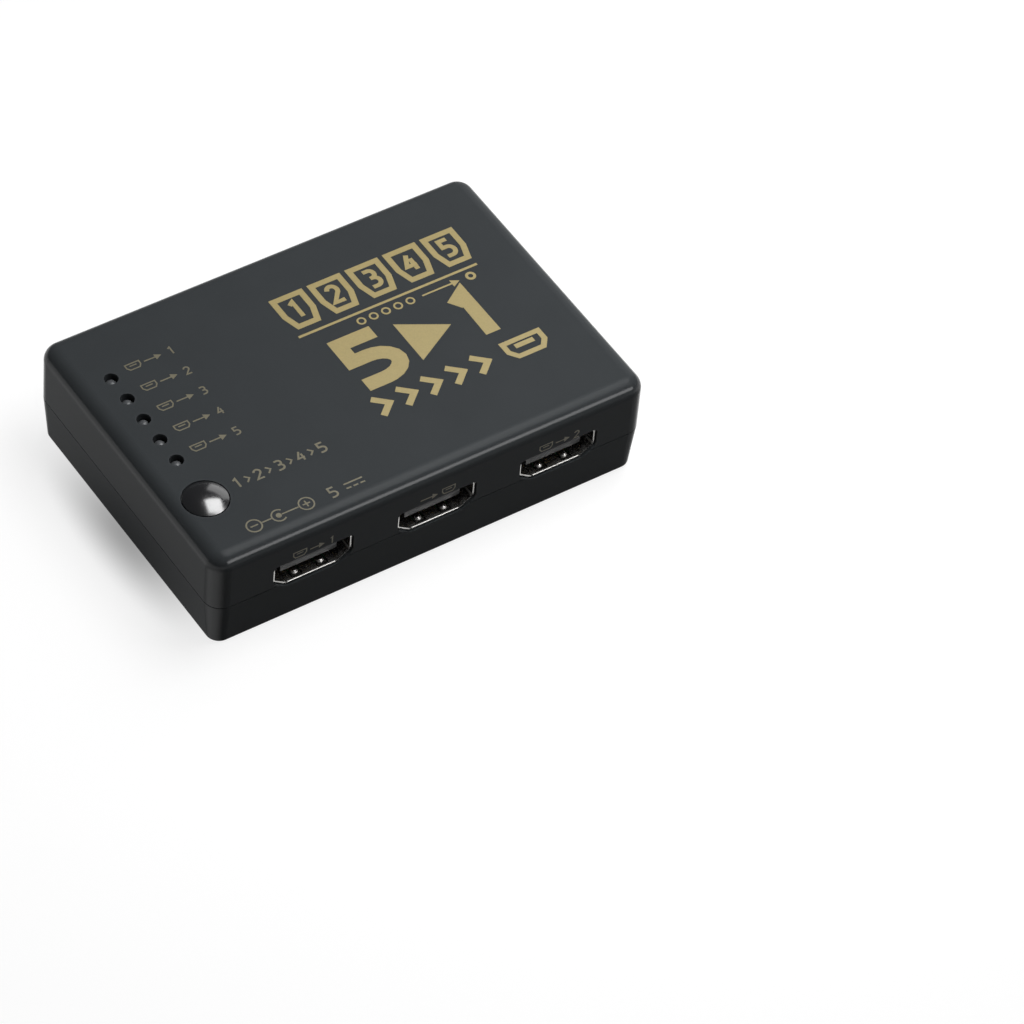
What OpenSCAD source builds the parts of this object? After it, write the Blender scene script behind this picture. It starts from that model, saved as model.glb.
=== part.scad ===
// Video switch box: a two-part moulded case with five inputs, one output, five lamps and a select button.
// +X runs along the socket sides, the front sockets face -Y, +Z is up, the origin is the middle of the underside.

/* [Case] */
// Length of the case along its socket sides
case_l = 85.2; // [83:0.1:96]
// Width of the case from the front face to the rear face
case_w = 58; // [56:0.1:70]
// Height of the case
case_h = 20.8; // [19:0.1:26]
// Thickness of the side walls
wall = 2; // [1.7:0.1:2.4]
// Thickness of the top wall
top_t = 2; // [1.4:0.1:2.4]
// Thickness of the floor
floor_t = 2; // [1.4:0.1:2.6]
// Radius of the upright corners inside
inner_r = 1.6; // [1:0.1:2.4]
// Radius of the edge round the top
top_r = 2.8; // [1:0.1:3.2]
// How much larger the radius of the upright corners outside is than that edge's
corner_step = 0.4; // [0.4:0.1:1.6]
// Radius of the edge round the underside
foot_r = 0.6; // [0.3:0.1:1]
// How far the lower shell's sides lean in from the seam down to the underside
taper = 0.8; // [0.3:0.1:1.2]
// Height of the seam between the two shells
seam_z = 9.2; // [8.8:0.1:10.4]

/* [Seam] */
// Height of the shadow line at the seam
groove_h = 0.15; // [0.1:0.05:0.5]
// Depth of the shadow line
groove_d = 0.4; // [0.2:0.05:0.6]
// Height of the lip that stands up inside the seam
lip_h = 1.5; // [1:0.1:2.4]
// Thickness of the lip
lip_t = 0.9; // [0.6:0.05:1.1]
// Clearance round the lip
lip_gap = 0.1; // [0.05:0.05:0.2]

/* [Screws] */
// Distance of each screw from the two faces next to it
screw_inset = 5.2; // [5:0.1:5.8]
// Diameter of the thread
screw_d = 2.5; // [2:0.1:3]
// Length of the screw under its head
screw_l = 10.5; // [8.5:0.5:12]
// Diameter of the head
head_d = 4.5; // [4:0.1:5]
// Height of the head
head_h = 1.6; // [1.2:0.1:2]
// Depth of the counterbore from the underside to the head's seat
head_depth = 3.2; // [2.4:0.1:4.2]
// Clearance round the head
head_gap = 0.2; // [0.1:0.05:0.4]
// Clearance round the thread in the standoff and in the board
shank_gap = 0.3; // [0.2:0.05:0.5]
// Clearance of the thread in its boss
thread_gap = 0.05; // [0.02:0.01:0.1]
// Room above the screw's end in the boss
pilot_room = 1; // [0.5:0.1:1.6]
// Wall of a standoff round its counterbore
standoff_wall = 0.9; // [0.8:0.1:1.3]
// Wall of a boss round its thread
boss_wall = 1.3; // [1:0.1:1.5]
// Thickness of the ribs that tie a boss to the walls
rib_t = 1; // [0.8:0.1:1.4]
// Width across the driver recess in the head
drive_w = 2.2; // [1.6:0.1:2.6]
// Width of one slot of the driver recess
drive_slot = 0.6; // [0.4:0.1:0.8]
// Depth of the driver recess
drive_depth = 0.8; // [0.5:0.1:1]

/* [Board] */
// Height of the board's underside above the floor
board_lift = 4.8; // [4.4:0.1:5.2]
// Thickness of the board
board_t = 1.6; // [1.2:0.1:2]
// Gap between the board and the walls
board_gap = 0.3; // [0.2:0.05:0.5]
// Diameter of the two posts under the board
post_d = 3; // [2:0.1:4]
// Clearance round every leg that passes through the board
leg_gap = 0.15; // [0.1:0.05:0.25]
// How far the legs stand out below the board
leg_out = 0.8; // [0.5:0.1:1.2]

/* [Sockets] */
// Width of a socket's shell
socket_w = 15.2; // [14.6:0.1:15.6]
// Height of a socket's shell
socket_h = 5.45; // [5.2:0.05:5.8]
// Width of each slanted lower corner
slant_w = 2.6; // [2:0.1:3]
// Height of each slanted lower corner
slant_h = 1.8; // [1.4:0.1:2.2]
// Outside radius of the bends
bend_r = 0.8; // [0.65:0.05:1]
// Thickness of the shell's plate
plate_t = 0.3; // [0.3:0.05:0.5]
// Chamfer inside the two lips of the mouth
lead_in = 0.1; // [0.1:0.05:0.25]
// Depth of the shell
socket_depth = 11.5; // [10.8:0.1:12]
// How far the mouth lies behind the case's face
socket_setback = 0.5; // [0.1:0.1:1]
// Distance of the outer sockets' middles from the case's ends, before the row is shifted
socket_end = 18.4; // [17.7:0.1:19.5]
// Distance of the middle socket to the right of the case's middle
socket_shift = 0.8; // [0:0.1:1.6]
// Clearance round a socket in its cut-out
cut_gap = 0.2; // [0.1:0.05:0.4]
// Width of a shell's leg
leg_w = 1.2; // [0.8:0.1:1.6]
// Distance of the first pair of legs behind the mouth
leg_first = 3.4; // [3.2:0.1:4]
// Distance of the second pair of legs behind the mouth
leg_second = 8.6; // [7:0.1:9.6]

/* [Socket springs] */
// Distance of each spring finger from the socket's middle
spring_x = 2.5; // [1.8:0.1:3]
// Width of a spring finger
spring_w = 1.6; // [1:0.1:2]
// Length of a spring finger
spring_l = 4.6; // [3.5:0.1:6]
// Distance of the finger's free end behind the mouth
spring_tip = 0.7; // [0.6:0.1:1.2]
// Width of the slit round a finger
slit_w = 0.3; // [0.2:0.05:0.4]
// Diameter of the dimple on a finger
dimple_d = 1.2; // [0.7:0.1:1.4]
// Height of the dimple
dimple_h = 0.4; // [0.2:0.05:0.5]

/* [Socket insides] */
// Width of the tongue
tongue_w = 10.9; // [10.6:0.1:11.2]
// Thickness of the tongue
tongue_t = 1.5; // [1.2:0.1:1.7]
// Height of the tongue above the shell's lower plate
tongue_lift = 1.5; // [1.3:0.1:1.7]
// Distance of the tongue's tip behind the mouth
tongue_back = 1.2; // [0.8:0.1:1.8]
// Chamfer at the tongue's tip
tongue_chamfer = 0.3; // [0.1:0.05:0.5]
// Depth of the block behind the tongue
block_depth = 4; // [3:0.1:5]
// Clearance of the block in the shell
block_gap = 0.05; // [0.02:0.01:0.1]
// Distance between the contacts of one row
contact_pitch = 1; // [0.9:0.05:1]
// Width of a contact
contact_w = 0.3; // [0.2:0.02:0.36]
// Thickness of a contact
contact_t = 0.15; // [0.1:0.01:0.2]
// Distance of a contact's front end behind the tongue's tip
contact_back = 0.6; // [0.5:0.1:1]
// Distance of the solder tails behind the block
tail_out = 0.5; // [0.3:0.05:0.8]
// Length of a tail's foot on the board
tail_foot = 0.9; // [0.6:0.1:1.2]

/* [Lamps] */
// Number of lamps
led_count = 5; // [3:1:5]
// Diameter of the holes in the top
led_hole_d = 2.5; // [1.8:0.1:3]
// Clearance of a lamp in its hole
led_gap = 0.15; // [0.1:0.05:0.3]
// Distance of the row from the left end
led_end = 6.65; // [6:0.05:8]
// Distance of the first lamp from the rear face
led_rear = 13.3; // [12:0.05:14]
// Distance of the last lamp from the button's middle
led_button = 9.75; // [8:0.05:10.5]
// Depth of a lamp's top below the case's top
led_recess = 0.7; // [0.2:0.1:1.2]
// Height of a lamp
led_h = 4.2; // [3.6:0.1:5]
// Width of the collar at a lamp's foot
led_collar = 0.35; // [0.2:0.05:0.5]
// Height of the collar
led_collar_h = 0.6; // [0.4:0.1:1]
// Distance between a lamp's two legs
led_leg_pitch = 1.27; // [1:0.01:1.4]
// Thickness of a lamp's leg
led_leg_t = 0.4; // [0.3:0.05:0.5]
// Diameter of the spacer tube under a lamp
spacer_d = 3; // [2.8:0.1:3.4]

/* [Select button] */
// Diameter of the cap
button_d = 7.8; // [6.4:0.1:8.2]
// Clearance of the cap in its hole
button_gap = 0.2; // [0.15:0.05:0.4]
// Distance of the button from the left end
button_end = 6.35; // [6.1:0.05:8]
// Distance of the button from the front face
button_front = 13.7; // [13:0.1:15.5]
// Height of the cap's rim above the case's top
button_proud = 0; // [0:0.05:0.8]
// Height of the cap's crown above its rim
crown_h = 1.2; // [0.3:0.05:1.6]
// Width of the flange beyond the hole
flange_w = 0.6; // [0.4:0.1:0.9]
// Thickness of the flange
flange_t = 0.8; // [0.6:0.1:1.2]
// Gap between the flange and the case
flange_gap = 0.2; // [0.15:0.05:0.3]
// Diameter of the stem
stem_d = 3; // [2.4:0.1:3.4]

/* [Tact switch] */
// Side of the switch
switch_w = 6; // [5.6:0.1:6.2]
// Height of the switch's base
switch_base_h = 3.2; // [3:0.1:3.6]
// Height of the floor inside the base
switch_floor = 1.2; // [0.8:0.1:1.3]
// Diameter of the space inside the base
switch_bore_d = 4.8; // [4.6:0.1:5]
// Thickness of the metal cover
switch_cover_t = 0.3; // [0.2:0.05:0.4]
// Height of the plunger's top above the board
switch_h = 5; // [4.4:0.1:6]
// Diameter of the plunger
plunger_d = 3.5; // [3:0.1:3.6]
// Clearance round the plunger and above and below its skirt
plunger_gap = 0.1; // [0.05:0.05:0.15]
// Diameter of the plunger's skirt
skirt_d = 4.3; // [4:0.1:4.4]
// Thickness of the skirt
skirt_t = 0.6; // [0.4:0.1:0.8]
// Diameter of the snap dome
dome_d = 4.4; // [4:0.1:4.5]
// Thickness of the snap dome
dome_t = 0.15; // [0.1:0.01:0.2]
// Width of a switch leg
switch_leg_w = 0.7; // [0.5:0.1:0.9]
// Thickness of a switch leg
switch_leg_t = 0.3; // [0.2:0.05:0.4]
// Distance between the two legs of one side
switch_leg_pitch = 4.5; // [3.6:0.1:4.8]
// Height of a leg's upper end above the board
switch_leg_h = 0.7; // [0.5:0.1:1]

/* [Jacks] */
// Distance of each jack from the case's middle line
jack_y = 8; // [6:0.1:9.5]
// Width of a jack's body
jack_w = 7.6; // [7:0.1:8.4]
// Height of a jack's body
jack_h = 6.2; // [6.1:0.1:6.8]
// Diameter of the round nose that passes through the wall
nose_d = 5.8; // [5:0.1:6]
// How far a nose ends behind the case's face
nose_setback = 0.3; // [0:0.1:1]
// Gap between a jack's body and the wall
jack_gap = 0.3; // [0.2:0.05:0.5]
// Depth of the power jack's body
power_depth = 9.5; // [8.5:0.1:11]
// Diameter of the power jack's bore
power_bore_d = 3.7; // [3.5:0.1:4]
// Thickness of the power jack's rear wall
power_back = 1.5; // [1:0.1:2]
// Diameter of the power jack's pin
pin_d = 1.3; // [1:0.05:1.5]
// Clearance of the pin in the rear wall
pin_gap = 0.05; // [0.02:0.01:0.1]
// Distance of the pin's tip behind the mouth
pin_back = 0.8; // [0.4:0.1:1.5]
// Depth of the eye jack's body
eye_depth = 12; // [11:0.1:12.6]
// Diameter of the eye jack's bore
eye_bore_d = 3.6; // [3.5:0.05:3.8]
// Thickness of the eye jack's rear wall
eye_back = 1.5; // [1:0.1:2]
// Width of a jack's solder tab
tab_w = 1.6; // [1:0.1:2]
// Thickness of a jack's solder tab
tab_t = 0.4; // [0.3:0.05:0.6]
// Distance of the solder tabs from the jack's middle
tab_y = 2.4; // [1.8:0.1:2.8]

/* [Chips] */
// Side of the video switching chip
chip_w = 10; // [8:0.1:11]
// Height of the video switching chip
chip_h = 1.4; // [1:0.1:2]
// Number of leads on each side of the video switching chip
chip_lead_count = 16; // [8:1:18]
// Distance between its leads
chip_pitch = 0.5; // [0.45:0.01:0.55]
// Width of its leads
chip_lead_w = 0.22; // [0.16:0.02:0.28]
// Length of the controller
control_l = 10; // [8:0.1:11]
// Width of the controller
control_w = 4; // [3.4:0.1:4.6]
// Height of the controller
control_h = 1.5; // [1.2:0.1:2]
// Number of leads on each side of the controller
control_lead_count = 8; // [4:1:8]
// Distance between its leads
control_pitch = 1.27; // [1:0.01:1.27]
// Width of its leads
control_lead_w = 0.4; // [0.3:0.05:0.5]
// Distance of the controller to the left of the switching chip
control_shift = 18; // [14.5:0.1:19]
// Length of the regulator
reg_l = 6.5; // [5.5:0.1:7]
// Width of the regulator
reg_w = 3.5; // [3:0.1:4]
// Height of the regulator
reg_h = 1.6; // [1.2:0.1:2]
// Distance between the regulator's leads
reg_pitch = 2.3; // [1.8:0.1:2.4]
// Width of the regulator's leads
reg_lead_w = 0.7; // [0.5:0.1:0.9]
// Width of the regulator's cooling tab
reg_tab_w = 3; // [2.4:0.1:3.4]
// Distance of the regulator to the right of the switching chip
reg_shift = 18; // [14:0.1:20]
// Height of the chips above the board
chip_lift = 0.1; // [0.05:0.05:0.2]
// Thickness of the chips' leads
lead_t = 0.15; // [0.1:0.01:0.2]
// Reach of a lead before its bend
lead_reach = 0.4; // [0.3:0.05:0.6]
// Length of a lead's foot
lead_foot = 0.6; // [0.4:0.05:0.8]

/* [Small parts] */
// Length of the crystal's can
crystal_l = 11; // [9:0.1:12]
// Width of the crystal's can
crystal_w = 4.4; // [3.6:0.1:5]
// Height of the crystal's can
crystal_h = 3.5; // [2.5:0.1:4.5]
// Thickness of the rim at the can's foot
crystal_rim_t = 0.5; // [0.3:0.1:0.8]
// Width of the rim at the can's foot
crystal_rim = 0.3; // [0.2:0.05:0.5]
// Diameter of a can capacitor
can_d = 5; // [4:0.1:5.4]
// Height of a can capacitor
can_h = 5.4; // [4.5:0.1:6.5]
// Side of a can capacitor's square base
can_base = 5.3; // [5:0.1:5.6]
// Height of that base
can_base_h = 0.9; // [0.6:0.1:1.2]
// Distance between the two can capacitors
can_pitch = 7; // [6.4:0.1:8]
// Length of a chip capacitor or resistor
small_l = 1.6; // [1.2:0.1:2]
// Width of a chip capacitor or resistor
small_w = 0.8; // [0.6:0.1:1]
// Height of a chip capacitor
small_cap_h = 0.8; // [0.6:0.1:1]
// Height of a chip resistor
small_res_h = 0.45; // [0.3:0.05:0.6]
// Distance between neighbouring small parts of one row
small_pitch = 2.2; // [1.8:0.1:2.6]
// Length of a surge protector
esd_l = 3; // [2.4:0.1:3.6]
// Width of a surge protector
esd_w = 1.6; // [1.2:0.1:2]
// Height of a surge protector
esd_h = 1; // [0.7:0.1:1.3]
// Gap between a socket's tails and the parts behind them
row_gap = 1; // [0.6:0.1:1.4]

/* [Hidden] */
$fn = 72;
eps = 0.01;
// Flats that make up one bend of a socket's plate
bend_steps = 6;

// Heights of the board's two faces, of the case's inner top and of the lip's top
board_z0 = floor_t + board_lift;
board_z = board_z0 + board_t;
roof_z = case_h - top_t;
lip_z = seam_z + lip_h;

// Space inside the walls
room_l = case_l - 2 * wall;
room_w = case_w - 2 * wall;

// Centres of the screws and radii of their bosses and standoffs
screw_x = case_l / 2 - screw_inset;
screw_y = case_w / 2 - screw_inset;
boss_r = screw_d / 2 + thread_gap + boss_wall;
standoff_r = head_d / 2 + head_gap + standoff_wall;

// Radius of the upright corners outside
corner_r = top_r + corner_step;

// Lean of the lower shell's sides and centre of its foot rounding, from the corner's centre
lean = atan(taper / seam_z);
foot_x = corner_r - taper + foot_r * (sin(lean) - 1) / cos(lean);

// Distance between neighbouring sockets, along the whole length
socket_pitch = case_l / 2 - socket_end;

// Levels inside a socket, from the board
tongue_z = plate_t + tongue_lift;
block_y = socket_depth - block_depth;
tail_y = socket_depth + tail_out;
tail_end = tail_y + contact_t + tail_foot;

// Lamps: radius of the lens, place of the row, which runs from the rear up to the button
led_r = led_hole_d / 2 - led_gap;
led_z = case_h - led_recess - led_h;
led_x = led_end - case_l / 2;
led_pitch = (case_w - led_rear - button_front - led_button) / (led_count - 1);

// Button: place, heights of the flange
button_x = button_end - case_l / 2;
button_y = button_front - case_w / 2;
flange_z = roof_z - flange_gap - flange_t;
crown_r = (pow(button_d / 2, 2) + pow(crown_h, 2)) / (2 * crown_h);
plunger_z = board_z + switch_h;
skirt_z = board_z + switch_base_h - plunger_gap - skirt_t;
dome_h = skirt_z - plunger_gap - board_z - switch_floor;
dome_r = (pow(dome_d / 2, 2) + pow(dome_h, 2)) / (2 * dome_h);

// Jacks: height of their axis, front of their bodies, end of their noses
jack_z = board_z + jack_h / 2;
jack_x = case_l / 2 - wall - jack_gap;
nose_x = case_l / 2 - nose_setback;

// Rows of small parts behind the sockets, from the case's faces
esd_y = case_w / 2 - socket_setback - tail_end - row_gap - esd_w / 2;
res_y = esd_y - esd_w / 2 - row_gap / 2 - small_l / 2;
chip_span = chip_w / 2 + lead_reach + lead_t + lead_foot;
// Distance of the crystal and the can capacitors in front of the switching chip's middle
front_row = chip_span + row_gap / 2 + can_base / 2;

// Sockets: name, place along the row, side of the case
SOCKETS = [
    ["input_1", -1, "front"],
    ["output", 0, "front"],
    ["input_2", 1, "front"],
    ["input_3", 1, "rear"],
    ["input_4", 0, "rear"],
    ["input_5", -1, "rear"]
];
PLAIN_NODES = [
    "lower_shell", "upper_shell", "case_screws", "main_board",
    "select_button", "switch_plunger", "switch_dome", "switch_base", "switch_cover", "switch_legs",
    "led_spacers", "led_legs",
    "power_jack_body", "power_jack_pin", "power_jack_contacts", "eye_jack_body", "eye_jack_contacts",
    "switch_chip", "switch_chip_leads", "control_chip", "control_chip_leads", "regulator", "regulator_leads",
    "crystal", "can_capacitors", "chip_capacitors", "chip_resistors", "esd_chips"
];

// Outlines and rounded solids

// Sector of a disc between two directions less than a half turn apart
module sector(r, a0, a1) {
    intersection() {
        circle(r);
        polygon([[0, 0], 2 * r * [cos(a0), sin(a0)], 2 * r * [cos(a1), sin(a1)]]);
    }
}

// Rectangle about the middle with rounded corners
module rounded_rect(l, w, r) {
    square([l, w - 2 * r], center = true);
    square([l - 2 * r, w], center = true);
    for (x = [0, 1], y = [0, 1])
        mirror([x, 0]) mirror([0, y]) translate([l / 2 - r, w / 2 - r]) sector(r, 0, 90);
}

function unit(v) = v / norm(v);
// Points of a sheet's bend at corner b of its outline, between the corners a before it and c after it
function bend(a, b, c, r) =
    let (
        u = unit(a - b),
        v = unit(c - b),
        turn = 180 - acos(u * v),
        centre = b + unit(u + v) * r / cos(turn / 2),
        start = b + u * r * tan(turn / 2) - centre
    )
    [for (k = [0:bend_steps]) let (t = turn * k / bend_steps)
        centre + [start.x * cos(t) - start.y * sin(t), start.x * sin(t) + start.y * cos(t)]];
// Outline, drawn anticlockwise, with a bend of radius r at every corner
function bent(p, r) =
    let (n = len(p)) [for (i = [0:n - 1]) each bend(p[(i + n - 1) % n], p[i], p[(i + 1) % n], r)];

// Upright slab on a rounded rectangle
module slab(l, w, r, z0, z1) {
    translate([0, 0, z0])
        linear_extrude(z1 - z0) rounded_rect(l, w, r);
}

// Solid on a rounded rectangle whose sides follow the edge profile given as a child: the profile's x runs
// outwards from the corner centres and its y is the height
module carried(l, w, r, z0, z1) {
    hx = l / 2 - r;
    hy = w / 2 - r;
    for (k = [0:3]) {
        translate([(k == 0 || k == 3 ? 1 : -1) * hx, (k < 2 ? 1 : -1) * hy, 0])
            rotate([0, 0, 90 * k])
                rotate_extrude(angle = 90) children();
    }
    translate([-hx, 0, 0]) rotate([90, 0, 90]) linear_extrude(2 * hx) {
        translate([-hy, z0]) square([2 * hy, z1 - z0]);
        translate([hy, 0]) children();
        mirror([1, 0]) translate([hy, 0]) children();
    }
    for (s = [0, 1]) {
        mirror([s, 0, 0]) translate([hx, hy, 0]) rotate([90, 0, 0]) linear_extrude(2 * hy) children();
    }
}

// Extrudes an outline drawn in width and height from y = 0 inwards
module inwards(d) {
    translate([0, d, 0]) rotate([90, 0, 0]) linear_extrude(d) children();
}

// Extrudes an outline drawn in depth and height, centred across the width w
module sideways(w) {
    translate([-w / 2, 0, 0]) rotate([90, 0, 90]) linear_extrude(w) children();
}

// Places a child at all four screws
module at_screws() {
    for (x = [-1, 1], y = [-1, 1]) translate([x * screw_x, y * screw_y, 0]) children();
}

// Places a child, drawn with its mouth at y = 0 and the board at z = 0, at one socket
module at_socket(s) {
    side = s[2] == "front" ? 1 : -1;
    translate([socket_shift + s[1] * socket_pitch, -side * (case_w / 2 - socket_setback), board_z])
        rotate([0, 0, side > 0 ? 0 : 180]) children();
}

// Places a child at the four legs of one socket's shell
module at_socket_legs() {
    for (x = [-1, 1], y = [leg_first, leg_second])
        translate([x * (socket_w - plate_t) / 2, y + leg_w / 2, 0]) children();
}

// Places a child at each lamp, and at each leg of one lamp
module at_leds() {
    for (i = [1:led_count]) at_led(i) children();
}
module at_led(i) {
    translate([led_x, case_w / 2 - led_rear - (i - 1) * led_pitch, 0]) children();
}
module at_led_legs() {
    for (y = [-1, 1]) translate([0, y * led_leg_pitch / 2, 0]) children();
}

// Places a child at the button
module at_button() {
    translate([button_x, button_y, 0]) children();
}

// Places a child at each leg of the tact switch
module at_switch_legs() {
    for (x = [-1, 1], y = [-1, 1])
        translate([x * (switch_w + switch_leg_t) / 2, y * switch_leg_pitch / 2, 0]) children();
}

// Places a child at a jack's axis, with x = 0 at the front of its body and x pointing out of the case
module at_jack(side) {
    translate([jack_x, side * jack_y, jack_z]) children();
}

// Places a child at the solder tabs under a jack's body of the given depth
module at_tabs(depth) {
    for (y = [-1, 1], k = [1, 3]) translate([-k * depth / 4, y * tab_y, -jack_h / 2]) children();
}

// Case

// Outline of a socket: a rectangle with slanted lower corners, moved inwards by t
function socket_outline(t) =
    let (
        run = norm([slant_w, slant_h]),
        low_x = socket_w / 2 - slant_w - t * (run - slant_w) / slant_h,
        side_x = socket_w / 2 - t,
        side_z = (t * run + slant_h * (slant_w - t)) / slant_w
    )
    [
        [-low_x, t], [low_x, t], [side_x, side_z],
        [side_x, socket_h - t], [-side_x, socket_h - t], [-side_x, side_z]
    ];
module socket_shape(t) {
    polygon(bent(socket_outline(t), bend_r - t));
}

// Everything that is cut through the side walls
module side_cuts() {
    for (s = SOCKETS) at_socket(s) translate([0, -socket_setback - 1, 0])
        inwards(wall + 2) socket_shape(-cut_gap);
    for (side = [-1, 1]) at_jack(side) rotate([0, 90, 0])
        translate([0, 0, -1]) cylinder(d = nose_d + 2 * cut_gap, h = wall + jack_gap + 2);
}

// Edge profile of the upper shell: shadow line, upright wall, rounded top edge
module upper_edge() {
    translate([0, seam_z]) square([corner_r - groove_d, groove_h]);
    translate([0, seam_z + groove_h]) square([corner_r, case_h - top_r - seam_z - groove_h]);
    translate([0, case_h - top_r]) square([corner_r - top_r, top_r]);
    translate([corner_r - top_r, case_h - top_r]) sector(top_r, 0, 90);
}

// Edge profile of the lower shell: leaning side and rounded foot
module lower_edge() {
    polygon([
        [0, 0], [foot_x, 0], [foot_x, foot_r],
        [foot_x + foot_r * cos(lean), foot_r - foot_r * sin(lean)],
        [corner_r, seam_z], [0, seam_z]
    ]);
    translate([foot_x, foot_r]) sector(foot_r, -90, -lean);
}

// Ribs from a boss to the two walls next to it, above the seam lip
module boss_ribs() {
    z0 = lip_z + 2 * lip_gap;
    l = screw_inset - wall / 2;
    for (x = [0, 1], y = [0, 1]) mirror([x, 0, 0]) mirror([0, y, 0]) translate([screw_x, screw_y, z0]) {
        translate([0, -rib_t / 2, 0]) cube([l, rib_t, roof_z - z0 + eps]);
        translate([-rib_t / 2, 0, 0]) cube([rib_t, l, roof_z - z0 + eps]);
    }
}

// Ribs under the top wall that hold the two rows of sockets down on the board
module socket_ribs() {
    z0 = board_z + socket_h + cut_gap;
    l = 2 * socket_pitch + socket_w;
    for (side = [-1, 1])
        translate([socket_shift - l / 2, side * (case_w / 2 - socket_setback - socket_depth / 2) - rib_t / 2, z0])
            cube([l, rib_t, roof_z - z0 + eps]);
}

// Upper shell: moulded cover with its bosses, ribs and openings
module upper_shell() {
    color("#222326") difference() {
        union() {
            difference() {
                carried(case_l, case_w, corner_r, seam_z, case_h) upper_edge();
                slab(room_l, room_w, inner_r, seam_z - 1, roof_z);
                slab(
                    room_l + 2 * (lip_t + lip_gap), room_w + 2 * (lip_t + lip_gap), inner_r + lip_t + lip_gap,
                    seam_z - 1, lip_z + lip_gap
                );
            }
            at_screws() translate([0, 0, board_z]) cylinder(r = boss_r, h = roof_z - board_z + eps);
            boss_ribs();
            socket_ribs();
        }
        at_screws() translate([0, 0, board_z - 1])
            cylinder(d = screw_d + 2 * thread_gap, h = head_depth + screw_l + pilot_room - board_z + 1);
        side_cuts();
        at_leds() translate([0, 0, roof_z - 1]) cylinder(d = led_hole_d, h = top_t + 2);
        at_button() translate([0, 0, roof_z - 1]) cylinder(d = button_d + 2 * button_gap, h = top_t + 2);
    }
}

// Lower shell: moulded tray with the seam lip, the screw standoffs and two posts under the board
module lower_shell() {
    color("#1e1f22") difference() {
        union() {
            difference() {
                union() {
                    carried(case_l, case_w, corner_r, 0, seam_z) lower_edge();
                    slab(room_l + 2 * lip_t, room_w + 2 * lip_t, inner_r + lip_t, seam_z - 1, lip_z);
                }
                slab(room_l, room_w, inner_r, floor_t, lip_z + 1);
            }
            at_screws() translate([0, 0, floor_t - eps]) cylinder(r = standoff_r, h = board_lift + eps);
            for (x = [-1, 1]) translate([socket_shift + x * socket_pitch / 2, 0, floor_t - eps])
                cylinder(d = post_d, h = board_lift + eps);
        }
        at_screws() translate([0, 0, -1]) cylinder(d = head_d + 2 * head_gap, h = head_depth + 1);
        at_screws() translate([0, 0, head_depth - eps]) cylinder(d = screw_d + 2 * shank_gap, h = board_z0);
        side_cuts();
    }
}

// Case screws: round heads with a cross recess, from the underside up into the bosses
module case_screws() {
    color("#8d9094") at_screws() difference() {
        union() {
            translate([0, 0, head_depth - head_h]) cylinder(d = head_d, h = head_h);
            translate([0, 0, head_depth - eps]) cylinder(d = screw_d, h = screw_l + eps);
        }
        for (a = [0, 90]) rotate([0, 0, a])
            translate([-drive_w / 2, -drive_slot / 2, head_depth - head_h - 1]) cube([drive_w, drive_slot, drive_depth + 1]);
    }
}

// Board

// Main board, with a hole for every screw and leg
module main_board() {
    h = board_t + 2;
    color("#1d4a33") difference() {
        slab(room_l - 2 * board_gap, room_w - 2 * board_gap, inner_r, board_z0, board_z);
        at_screws() translate([0, 0, board_z0 - 1]) cylinder(d = screw_d + 2 * shank_gap, h = h);
        for (s = SOCKETS) at_socket(s) at_socket_legs()
            translate([-plate_t / 2 - leg_gap, -leg_w / 2 - leg_gap, -board_t - 1])
                cube([plate_t + 2 * leg_gap, leg_w + 2 * leg_gap, h]);
        at_leds() at_led_legs() translate([0, 0, board_z0 - 1])
            cylinder(d = led_leg_t * sqrt(2) + 2 * leg_gap, h = h);
        at_button() at_switch_legs() translate([0, 0, board_z0 - 1])
            cylinder(d = norm([switch_leg_w, switch_leg_t]) + 2 * leg_gap, h = h);
        at_jack(1) at_tabs(power_depth) tab_hole(h);
        at_jack(1) translate([-power_depth - tab_t / 2, 0, -jack_h / 2]) tab_hole(h);
        at_jack(-1) at_tabs(eye_depth) tab_hole(h);
    }
}
module tab_hole(h) {
    translate([-tab_t / 2 - leg_gap, -tab_w / 2 - leg_gap, -board_t - 1])
        cube([tab_t + 2 * leg_gap, tab_w + 2 * leg_gap, h]);
}

// Sockets

// One spring finger's slit, round three sides of the finger
module spring_slit() {
    translate([-spring_w / 2 - slit_w, spring_tip - slit_w, 0]) difference() {
        cube([spring_w + 2 * slit_w, spring_l + slit_w, 3 * plate_t]);
        translate([slit_w, slit_w, -1]) cube([spring_w, spring_l + 1, 3 * plate_t + 2]);
    }
}

// One spring finger's dimple: a round bump on the plate's inner face at z = 0
module spring_dimple() {
    r = (pow(dimple_d / 2, 2) + pow(dimple_h, 2)) / (2 * dimple_h);
    translate([0, spring_tip + spring_w / 2, 0]) intersection() {
        translate([0, 0, dimple_h - r]) sphere(r);
        translate([0, 0, -plate_t / 2]) cylinder(d = spring_w, h = plate_t + dimple_h);
    }
}

// Wedge that chamfers a lip's inner edge at the mouth over the width w, from the plate's outer face at z = 0
module lip_chamfer(w) {
    sideways(w) polygon([[-1, plate_t - lead_in - 1], [lead_in + 1, plate_t + 1], [-1, plate_t + 1]]);
}

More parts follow.
